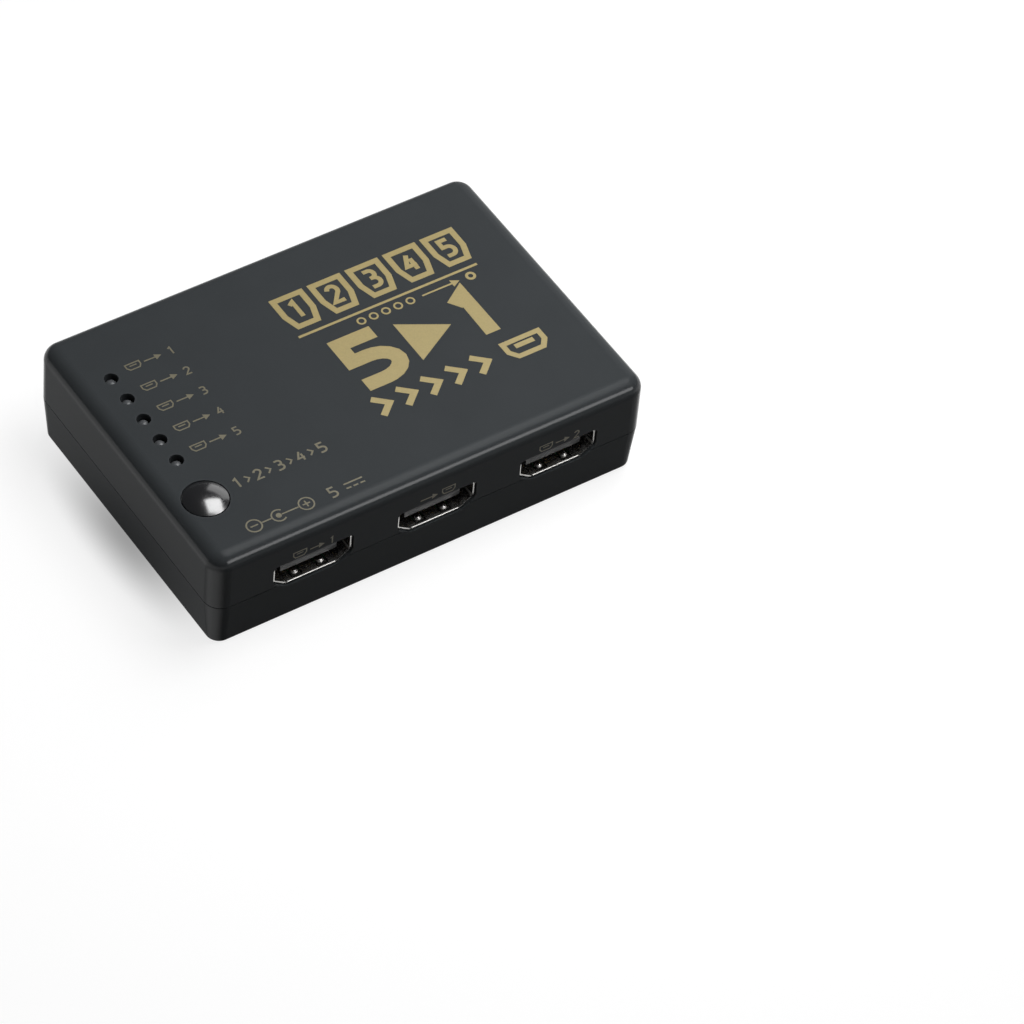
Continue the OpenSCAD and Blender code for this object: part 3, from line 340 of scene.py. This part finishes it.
board_finish, tree, skin = new_finish("solder_mask")
skin.inputs["Coat Weight"].default_value = MASK_COAT
tracks = effect(tree, copper_tracks())
feed(tree, skin, {
    "Base Color": blend(tree, tracks["Track"], MASK_GREEN + (1,), TRACK_GREEN + (1,)),
    "Roughness": spread(tree, effect(tree, GRAIN_EFFECT)["Drift"], *MASK_ROUGH),
    "Normal": bumped(tree, tracks["Height"], TRACK_BUMP, TRACK_HEIGHT),
})
dress(board_finish, "main_board")


# Chips, leads and small parts
# Moulded epoxy packages on bent, tinned leads, soldered to the board with chip resistors and capacitors.
# The electrolytic cans are drawn aluminium on a black base, with a dark half mark on the top.
EPOXY_BLACK, EPOXY_ROUGH, EPOXY_GRAIN = (0.018, 0.018, 0.019), 0.5, 0.08 * MM
CERAMIC_TAN, CERAMIC_ROUGH, CERAMIC_GRAIN = (0.33, 0.22, 0.13), 0.45, 0.05 * MM
TIN, TIN_ROUGH = (0.66, 0.66, 0.64), 0.3
STEEL, CRYSTAL_ROUGH = (0.58, 0.57, 0.55), 0.28
ALUMINIUM, CAN_ROUGH, CAN_BASE_SHARE, CAN_TOP = (0.70, 0.70, 0.71), 0.25, 0.18, 0.2 * MM
STREAK, STREAK_LENGTH, STREAK_DEPTH, STREAK_BUMP = 0.25 * MM, 14.0, 0.003 * MM, 0.4
STREAK_TONES, STREAK_GLOSS = (0.82, 1.12), (0.7, 1.3)


def rolled_streaks():
    """Streaks of rolled or drawn metal: noise on Object coordinates, squeezed across and drawn out along X."""
    group, given, put = new_effect("rolled_streaks", {"Width": STREAK, "Length": STREAK_LENGTH}, ("Streak",))
    narrow = calc(group, "DIVIDE", 1.0, given["Width"])
    along = calc(group, "DIVIDE", narrow, given["Length"])
    scale = place(group, "ShaderNodeCombineXYZ", {"X": along, "Y": narrow, "Z": narrow}).outputs[0]
    drawn = vector(group, "MULTIPLY", on_object(group), scale)
    group.links.new(noise(group, drawn, 1.0, 4.0, 0.65), put["Streak"])
    return group


STREAK_EFFECT = rolled_streaks()


def plated(name, colour, rough, streak=STREAK):
    """Bare or plated metal: streaks vary its colour and gloss and stand up a little in bump."""
    finish, tree, skin = new_finish(name)
    skin.inputs["Metallic"].default_value = 1.0
    texture = effect(tree, STREAK_EFFECT, Width=streak)["Streak"]
    feed(tree, skin, {
        "Base Color": blend(tree, texture, *shades(colour, *STREAK_TONES)),
        "Roughness": spread(tree, texture, *(rough * share for share in STREAK_GLOSS)),
        "Normal": bumped(tree, texture, STREAK_BUMP, STREAK_DEPTH),
    })
    return finish


dress(moulded("epoxy_black", EPOXY_BLACK, EPOXY_ROUGH, grain=EPOXY_GRAIN), "switch_chip", "control_chip",
      "regulator", "chip_resistors", "esd_chips")
dress(moulded("fired_ceramic", CERAMIC_TAN, CERAMIC_ROUGH, grain=CERAMIC_GRAIN), "chip_capacitors")
dress(plated("tinned", TIN, TIN_ROUGH), "switch_chip_leads", "control_chip_leads", "regulator_leads")
dress(plated("pressed_steel", STEEL, CRYSTAL_ROUGH), "crystal")

can_low, can_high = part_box("can_capacitors")
can_finish = plated("drawn_aluminium", ALUMINIUM, CAN_ROUGH)
tree = can_finish.node_tree
skin = tree.nodes["Principled BSDF"]
bright = skin.inputs["Base Color"].links[0].from_socket
spot = place(tree, "ShaderNodeSeparateXYZ", {0: on_object(tree)}).outputs
base = calc(tree, "LESS_THAN", spot["Z"], can_low.z + CAN_BASE_SHARE * (can_high.z - can_low.z))
top = calc(tree, "GREATER_THAN", spot["Z"], can_high.z - CAN_TOP)
front_half = calc(tree, "LESS_THAN", spot["Y"], (can_low.y + can_high.y) / 2)
black = calc(tree, "MAXIMUM", base, calc(tree, "MULTIPLY", top, front_half))
feed(tree, skin, {
    "Base Color": blend(tree, black, bright, EPOXY_BLACK + (1,)),
    "Metallic": calc(tree, "SUBTRACT", 1.0, black),
})
dress(can_finish, "can_capacitors")


# Video sockets
# Each is a folded, nickel plated steel shell round a black moulding, whose tongue carries nineteen contacts.
# Two spring fingers with a round dimple are pressed out of the shell's floor and of its roof.
NICKEL, NICKEL_ROUGH, FOLD_ROUGHER = (0.60, 0.59, 0.57), 0.26, 0.2
GOLD, GOLD_ROUGH, GOLD_STREAK = (0.70, 0.50, 0.20), 0.2, 0.08 * MM
NYLON_BLACK, NYLON_ROUGH, NYLON_GRAIN = (0.011, 0.011, 0.012), 0.42, 0.1 * MM
SOCKETS = ("input_1", "output", "input_2", "input_3", "input_4", "input_5")

shell_finish = plated("nickel_plate", NICKEL, NICKEL_ROUGH)
tree = shell_finish.node_tree
skin = tree.nodes["Principled BSDF"]
rolled = skin.inputs["Roughness"].links[0].from_socket
folds = effect(tree, CREST_EFFECT)["Mask"]
feed(tree, skin, {"Roughness": calc(tree, "MULTIPLY_ADD", folds, FOLD_ROUGHER, rolled)})
dress(shell_finish, *(name + "_shell" for name in SOCKETS))
dress(moulded("nylon_black", NYLON_BLACK, NYLON_ROUGH, grain=NYLON_GRAIN),
      *(name + "_insulator" for name in SOCKETS))
dress(plated("gold_flash", GOLD, GOLD_ROUGH, streak=GOLD_STREAK), *(name + "_contacts" for name in SOCKETS))


# Supply and eye jacks
# Black moulded barrels with a turned pin and sprung contacts, soldered to the board at the right end.
# Only their round mouths show, flush with the end of the case.
JACK_BLACK, JACK_ROUGH, JACK_GRAIN = (0.014, 0.014, 0.015), 0.38, 0.12 * MM
PIN_ROUGH, PIN_STREAK = 0.18, 0.1 * MM

dress(moulded("jack_black", JACK_BLACK, JACK_ROUGH, grain=JACK_GRAIN), "power_jack_body", "eye_jack_body")
dress(plated("jack_pin", NICKEL, PIN_ROUGH, streak=PIN_STREAK), "power_jack_pin")
dress(plated("jack_tin", TIN, TIN_ROUGH), "power_jack_contacts", "eye_jack_contacts")


# Indicator lamps
# Five 3 mm lamps with smoky lenses, sunk in their holes, on spacers that hold them off the board.
# The moulded lens is a little cloudy inside, with faint flow lines on its dome.
LENS_SMOKE, LENS_CLOUD = (0.045, 0.047, 0.05), (0.10, 0.105, 0.11)
LENS_IOR, LENS_ROUGH = 1.3, (0.3, 0.42)
CLOUD, FLOW_DEPTH, FLOW_BUMP = 0.5 * MM, 0.01 * MM, 0.15
SPACER_NYLON, SPACER_ROUGH, SPACER_GRAIN = (0.66, 0.63, 0.56), 0.5, 0.2 * MM

lens_finish, tree, skin = new_finish("lamp_lens")
skin.inputs["IOR"].default_value = LENS_IOR
clouds = effect(tree, GRAIN_EFFECT, Grain=CLOUD)
feed(tree, skin, {
    "Base Color": blend(tree, clouds["Height"], LENS_SMOKE + (1,), LENS_CLOUD + (1,)),
    "Roughness": spread(tree, clouds["Drift"], *LENS_ROUGH),
    "Normal": bumped(tree, clouds["Height"], FLOW_BUMP, FLOW_DEPTH),
})
dress(lens_finish, "led_1", "led_2", "led_3", "led_4", "led_5")
dress(moulded("spacer_nylon", SPACER_NYLON, SPACER_ROUGH, grain=SPACER_GRAIN), "led_spacers")
dress(plated("lamp_wire", TIN, TIN_ROUGH), "led_legs")


# Select button and its switch
# A domed cap in polished black ABS, held under the top by its flange, over a small snap-dome switch.
# Use has left hairline scratches that dull the polish a little.
BUTTON_BLACK, BUTTON_TONES = (0.010, 0.010, 0.011), (0.8, 1.25)
BUTTON_IOR, BUTTON_ROUGH = 1.8, (0.19, 0.26)
WAVE, WAVE_DEPTH, WAVE_BUMP = 3 * MM, 0.004 * MM, 0.08
SCRATCH_SCALE, SCRATCH_WIDTH, SCRATCH_CURL = 1500.0, 0.03, 2.5
SWITCH_BLACK, SWITCH_ROUGH, SWITCH_GRAIN = (0.02, 0.02, 0.021), 0.45, 0.1 * MM
SWITCH_STEEL_ROUGH = 0.25


def hairlines():
    """Fine scratches: noise on Object coordinates, curled by distortion, kept only where it crosses its
    middle."""
    group, given, put = new_effect("hairlines", {"Scale": SCRATCH_SCALE, "Width": SCRATCH_WIDTH}, ("Scratch",))
    curls = noise(group, on_object(group), given["Scale"], 1.0, distortion=SCRATCH_CURL)
    off = calc(group, "ABSOLUTE", calc(group, "SUBTRACT", curls, 0.5))
    group.links.new(spread(group, off, 1.0, 0.0, end=given["Width"]), put["Scratch"])
    return group


button_finish, tree, skin = new_finish("button_gloss")
skin.inputs["IOR"].default_value = BUTTON_IOR
waves = effect(tree, GRAIN_EFFECT, Drift=WAVE)["Drift"]
feed(tree, skin, {
    "Base Color": blend(tree, waves, *shades(BUTTON_BLACK, *BUTTON_TONES)),
    "Roughness": spread(tree, effect(tree, hairlines())["Scratch"], *BUTTON_ROUGH),
    "Normal": bumped(tree, waves, WAVE_BUMP, WAVE_DEPTH),
})
dress(button_finish, "select_button")
dress(moulded("switch_black", SWITCH_BLACK, SWITCH_ROUGH, grain=SWITCH_GRAIN), "switch_base", "switch_plunger")
dress(plated("switch_steel", STEEL, SWITCH_STEEL_ROUGH), "switch_cover", "switch_dome")
dress(plated("switch_tin", TIN, TIN_ROUGH), "switch_legs")


# Case screws
# Four pan head screws in blackened steel, driven from below into the bosses of the upper shell.
# The heads are turned, so faint rings run round each axis, and the black has rubbed thin on the rims.
SCREW_BLACK, SCREW_BARE = (0.055, 0.055, 0.058), (0.30, 0.29, 0.28)
SCREW_ROUGH, SCREW_STREAK, SCREW_HEAD = 0.38, 0.12 * MM, 4.5 * MM
RIM_WIDTH, RING_PITCH, RING_DEPTH, RING_BUMP = 0.2 * MM, 0.12 * MM, 0.003 * MM, 0.25

screw_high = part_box("case_screws")[1]
screw_axis = (screw_high.x - SCREW_HEAD / 2, screw_high.y - SCREW_HEAD / 2, 0)
screw_finish = plated("blackened_steel", SCREW_BLACK, SCREW_ROUGH, streak=SCREW_STREAK)
tree = screw_finish.node_tree
skin = tree.nodes["Principled BSDF"]
black = skin.inputs["Base Color"].links[0].from_socket
worn = effect(tree, RUB_EFFECT, Width=RIM_WIDTH)["Mask"]
flat = vector(tree, "MULTIPLY", vector(tree, "ABSOLUTE", on_object(tree)), (1, 1, 0))
reach = vector(tree, "DISTANCE", flat, screw_axis, result="Value")
turned = calc(tree, "SINE", calc(tree, "MULTIPLY", reach, 2 * math.pi / RING_PITCH))
feed(tree, skin, {
    "Base Color": blend(tree, worn, black, SCREW_BARE + (1,)),
    "Normal": bumped(tree, turned, RING_BUMP, RING_DEPTH),
})
dress(screw_finish, "case_screws")


# Pad printing
# Gold ink laid on by a soft pad, about 0.02 mm thick, a little mottled and dry in places.
# Only plain numbers and common signs: sockets, arrows, chevrons and supply signs, in millimetres on each face.
INK_GOLD, FINE_GOLD, INK_TONES = (0.265, 0.208, 0.076), (0.10, 0.088, 0.052), (0.86, 1.12)
INK_DRY, INK_MOTTLE, INK_DRIFT = (0.42, 0.6), 0.35 * MM, 5 * MM
INK_GRAIN, INK_BUMP = 0.004 * MM, 0.3
INK_PROUD, INK_SUNK, INK_STEP, MITRE_LIMIT = 0.02, 0.01, 0.25, 0.5


def arc(cx, cy, rx, ry, start, end, steps):
    """Points on an ellipse about (cx, cy), at even angles from start to end in degrees."""
    turn = np.radians(np.linspace(start, end, steps))
    return np.stack((cx + rx * np.cos(turn), cy + ry * np.sin(turn)), axis=1)


FIGURES = {
    1: [np.array([(0.18, 0.84), (0.6, 1.0), (0.6, 0.0)])],
    2: [np.concatenate((arc(0.5, 0.72, 0.47, 0.28, 165, -32, 11), [(0.0, 0.0), (1.0, 0.0)]))],
    3: [np.concatenate(([(0.04, 1.0), (0.5, 1.0)], arc(0.5, 0.765, 0.42, 0.235, 75, -75, 8),
                        [(0.5, 0.53), (0.3, 0.53)])),
        np.concatenate(([(0.5, 0.53)], arc(0.5, 0.265, 0.5, 0.265, 75, -75, 8), [(0.5, 0.0), (0.0, 0.0)]))],
    4: [np.array([(0.62, 1.0), (0.0, 0.32), (1.0, 0.32)]), np.array([(0.74, 0.74), (0.74, 0.42)]),
        np.array([(0.74, 0.22), (0.74, 0.0)])],
    5: [np.concatenate(([(0.93, 1.0), (0.1, 1.0), (0.1, 0.57), (0.48, 0.57)],
                        arc(0.48, 0.285, 0.52, 0.285, 75, -75, 9), [(0.48, 0.0), (0.0, 0.0)]))],
}
SOCKET_SIGN = np.array([(0, 1), (0, 0.42), (0.16, 0), (0.84, 0), (1, 0.42), (1, 1)], float)
TONGUE_LEFT, TONGUE_RIGHT, TONGUE_LEVEL = 0.27, 0.73, 0.6
ARROW_HEAD, ARROW_TIP = 0.9, 0.02


def line(x0, y0, x1, y1, pen):
    """Stroke of a straight line from one point to another."""
    return [(np.array([(x0, y0), (x1, y1)], float), pen, False)]


def figure(number, x, y, wide, high, pen):
    """Strokes of a plain number in a box: its paths are set in by half the pen on every side."""
    corner, size = np.array((x, y)) + pen / 2, (wide - pen, high - pen)
    return [(corner + path * size, pen, False) for path in FIGURES[number]]


def socket_frame(x, y, wide, high, pen):
    """Stroke of a socket's outline in a box, set in by half the pen."""
    return [(np.array((x, y)) + pen / 2 + SOCKET_SIGN * (wide - pen, high - pen), pen, True)]


def socket_sign(x, y, wide, high, pen):
    """Strokes of a socket's outline with a bar for its tongue."""
    bar_y = y + TONGUE_LEVEL * high
    return (socket_frame(x, y, wide, high, pen)
            + line(x + TONGUE_LEFT * wide, bar_y, x + TONGUE_RIGHT * wide, bar_y, pen))


def arrow(x, y, long, high, pen):
    """Strokes of an arrow to the right: a shaft, then a head whose width runs down to a point."""
    head = min(long, ARROW_HEAD * high)
    shaft = line(x, y, x + long - head, y, pen) if long > head else []
    return shaft + line(x + long - head, y, x + long, y, np.array((high, ARROW_TIP)))


def chevron(x, y, wide, high, pen):
    """Stroke of an open angle that points to the right."""
    return [(np.array([(x, y + high / 2), (x + wide, y), (x, y - high / 2)]), pen, False)]


def ring(x, y, radius, pen):
    """Stroke of a circle whose outer radius is given."""
    return [(arc(x, y, radius - pen / 2, radius - pen / 2, 0, 345, 24), pen, True)]


def bow(x, y, radius, start, end, steps, pen):
    """Stroke of part of a circle, from start to end in degrees."""
    return [(arc(x, y, radius, radius, start, end, steps), pen, False)]


def steady_sign(x, y, wide, rise, pen):
    """Strokes of the sign for a steady supply: a line over three dashes, each a quarter as long as the line."""
    strokes = line(x, y + rise, x + wide, y + rise, pen)
    for left in np.linspace(x, x + wide * 3 / 4, 3):
        strokes += line(left, y, left + wide / 4, y, pen)
    return strokes


def printed(name, ink, strokes, origin, u, v):
    """Ink on a flat face: each stroke carries a flat rectangle along its path, mitred at the corners up to
    twice its width; u and v are the face's directions, and the ink stands a little above it and is sunk a
    little in it, every second stroke less high, so that none share a top where they cross."""
    origin, u, v = (np.array(a, float) for a in (origin, u, v))
    out = np.cross(u, v)
    points, faces, count = [], [], 0
    for stroke, (path, pen, closed) in enumerate(strokes):
        ahead = np.roll(path, -1, 0) - path
        if not closed:
            ahead[-1] = ahead[-2]
        ahead /= np.linalg.norm(ahead, axis=1, keepdims=True)
        behind = np.roll(ahead, 1, 0)
        if not closed:
            behind[0] = ahead[0]
        middle = ahead + behind
        middle /= np.linalg.norm(middle, axis=1, keepdims=True)
        side = np.stack((-middle[:, 1], middle[:, 0]), axis=1)
        lean = np.maximum((middle * ahead).sum(1), MITRE_LIMIT)
        offset = side * (np.broadcast_to(pen, len(path)) / 2 / lean)[:, None]
        flat = np.stack((path + offset, path + offset, path - offset, path - offset), axis=1)
        top = INK_PROUD * (1 - INK_STEP * (stroke % 2))
        rise = np.array((-INK_SUNK, top, top, -INK_SUNK))
        points.append((origin + flat[..., :1] * u + flat[..., 1:] * v + rise[:, None] * out).reshape(-1, 3))
        stations = len(path)
        i = np.arange(stations if closed else stations - 1)[:, None]
        j = (i + 1) % stations
        a, b = np.arange(4), (np.arange(4) + 1) % 4
        faces.append(count + np.stack((4 * i + a, 4 * i + b, 4 * j + b, 4 * j + a), axis=-1).reshape(-1, 4))
        if not closed:
            last = 4 * (stations - 1)
            faces.append(count + np.array([(0, 3, 2, 1), (last, last + 1, last + 2, last + 3)]))
        count += 4 * stations
    mesh = bpy.data.meshes.new(name)
    mesh.from_pydata((np.concatenate(points) * MM).tolist(), [], np.concatenate(faces).tolist())
    mesh.materials.append(ink)
    piece = bpy.data.objects.new(name, mesh)
    bpy.context.scene.collection.objects.link(piece)
    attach(piece, "case")


def pad_ink(name, colour):
    """Pad ink: fine grain mottles its two tones and stands up in bump; a slow drift dries it in places."""
    finish, tree, skin = new_finish(name)
    mottle = effect(tree, GRAIN_EFFECT, Grain=INK_MOTTLE, Drift=INK_DRIFT)
    feed(tree, skin, {
        "Base Color": blend(tree, mottle["Height"], *shades(colour, *INK_TONES)),
        "Roughness": spread(tree, mottle["Drift"], *INK_DRY),
        "Normal": bumped(tree, mottle["Height"], INK_BUMP, INK_GRAIN),
    })
    return finish


broad_ink, fine_ink = pad_ink("gold_ink", INK_GOLD), pad_ink("gold_ink_fine", FINE_GOLD)

TOP_FACE = ((-0.55, -0.58, 20.8), (1, 0, 0), (0, 1, 0))
FRONT_FACE = ((0, -29, 0), (1, 0, 0), (0, 0, 1))
REAR_FACE = ((0, 29, 0), (-1, 0, 0), (0, 0, 1))
JACK_FACE = ((42.6, 0, 0), (0, 1, 0), (0, 0, 1))
NUMBERS = range(1, 6)

# A socket, an arrow and a number beside each lamp
lamp_signs = []
for number, y in zip(NUMBERS, np.linspace(17.05, -4.15, 5)):
    lamp_signs += (socket_sign(-32.1, y - 0.8, 2.9, 1.6, 0.24) + arrow(-28.6, y, 3.3, 1.3, 0.26)
                   + figure(number, -24.0, y - 0.95, 1.25, 1.9, 0.28))
printed("lamp_numbers", fine_ink, lamp_signs, *TOP_FACE)

# The order in which the button steps through the inputs
SELECT_Y = -14.3
select_signs = []
for number, x in zip(NUMBERS, np.linspace(-30.2, -13.9, 5)):
    select_signs += figure(number, x, SELECT_Y - 1.2, 1.6, 2.4, 0.36)
    if number < NUMBERS[-1]:
        select_signs += chevron(x + 2.45, SELECT_Y, 0.7, 1.4, 0.3)
printed("select_numbers", fine_ink, select_signs, *TOP_FACE)

# The supply's poles, minus outside and plus on the pin, then 5 volts, steady
SUPPLY_Y, MINUS_X, CUP_X, PLUS_X, POLE_R, PEN = -23.8, -31.9, -27.2, -21.9, 1.45, 0.26
supply_signs = (
    ring(MINUS_X, SUPPLY_Y, POLE_R, PEN) + line(MINUS_X - 0.7, SUPPLY_Y, MINUS_X + 0.7, SUPPLY_Y, PEN)
    + line(MINUS_X + 1.5, SUPPLY_Y, CUP_X - 1.4, SUPPLY_Y, PEN)
    + bow(CUP_X, SUPPLY_Y, 1.25, 45, 315, 18, PEN) + ring(CUP_X, SUPPLY_Y, 0.5, 0.5)
    + line(CUP_X + 0.6, SUPPLY_Y, PLUS_X - 1.5, SUPPLY_Y, PEN)
    + ring(PLUS_X, SUPPLY_Y, POLE_R, PEN) + line(PLUS_X - 0.7, SUPPLY_Y, PLUS_X + 0.7, SUPPLY_Y, PEN)
    + line(PLUS_X, SUPPLY_Y + 0.7, PLUS_X, SUPPLY_Y + 0.13, PEN)
    + line(PLUS_X, SUPPLY_Y - 0.13, PLUS_X, SUPPLY_Y - 0.7, PEN)
    + figure(5, -17.6, SUPPLY_Y - 1.2, 1.6, 2.4, 0.34) + steady_sign(-14.4, SUPPLY_Y - 0.45, 3.6, 1.0, 0.3)
)
printed("supply_signs", fine_ink, supply_signs, *TOP_FACE)

# Five numbered sockets over a line, five rings led to one, and five to one in large
RULE_Y, RING_Y, LARGE_Y, CHEVRON_Y = 9.1, 7.2, -7.4, -11.2
badge_signs = []
for number, x in zip(NUMBERS, np.linspace(-3.2, 27.1, 5)):
    badge_signs += (socket_frame(x, RULE_Y + 1.6, 6.6, 8.1, 1.1)
                    + figure(number, x + 1.9, RULE_Y + 3.5, 2.8, 4.6, 0.85))
badge_signs += line(-3.1, RULE_Y, 32.7, RULE_Y, 0.5)
for x in np.linspace(8.2, 18.0, 5):
    badge_signs += ring(x, RING_Y, 0.85, 0.32)
badge_signs += arrow(20.4, RING_Y, 7.5, 1.7, 0.34) + ring(30.2, RING_Y, 0.95, 0.5)
badge_signs += (figure(5, -0.6, LARGE_Y, 11.2, 13.0, 2.9) + arrow(12.4, LARGE_Y + 6.5, 8.6, 9.6, 2.9)
                + figure(1, 21.6, LARGE_Y, 8.4, 13.0, 2.9))
for x in np.linspace(-0.2, 19.4, 5):
    badge_signs += chevron(x, CHEVRON_Y, 2.4, 4.2, 1.2)
badge_signs += socket_sign(25.4, CHEVRON_Y - 2.2, 8.2, 4.6, 1.0)
printed("badge", broad_ink, badge_signs, *TOP_FACE)

# A sign over each socket
PORTS = np.array([-24.2, 0.0, 24.2]) + 0.8
PORT_Z = 15.1


def port_sign(number, x):
    """A socket, an arrow and the port's number in one line, centred on x; the output has its arrow first."""
    if number:
        return (socket_sign(x - 4.2, PORT_Z - 0.75, 2.7, 1.5, 0.22) + arrow(x - 0.9, PORT_Z, 2.8, 1.2, 0.24)
                + figure(number, x + 2.7, PORT_Z - 0.9, 1.2, 1.8, 0.26))
    return arrow(x - 3.6, PORT_Z, 3.4, 1.2, 0.24) + socket_sign(x + 0.6, PORT_Z - 0.75, 2.7, 1.5, 0.22)


front_signs = port_sign(1, PORTS[0]) + port_sign(None, PORTS[1]) + port_sign(2, PORTS[2])
rear_signs = port_sign(3, -PORTS[2]) + port_sign(4, -PORTS[1]) + port_sign(5, -PORTS[0])
printed("front_numbers", fine_ink, front_signs, *FRONT_FACE)
printed("rear_numbers", fine_ink, rear_signs, *REAR_FACE)

# The steady supply over its inlet, and waves that reach an eye over its jack
EYE_X, EYE_Z = -8.9, 16.2
jack_signs = steady_sign(6.0, 15.8, 4.0, 0.8, PEN) + ring(EYE_X, EYE_Z, 0.45, 0.3)
for radius in (0.95, 1.5, 2.05):
    jack_signs += bow(EYE_X, EYE_Z, radius, -40, 40, 7, 0.24)
printed("jack_signs", fine_ink, jack_signs, *JACK_FACE)
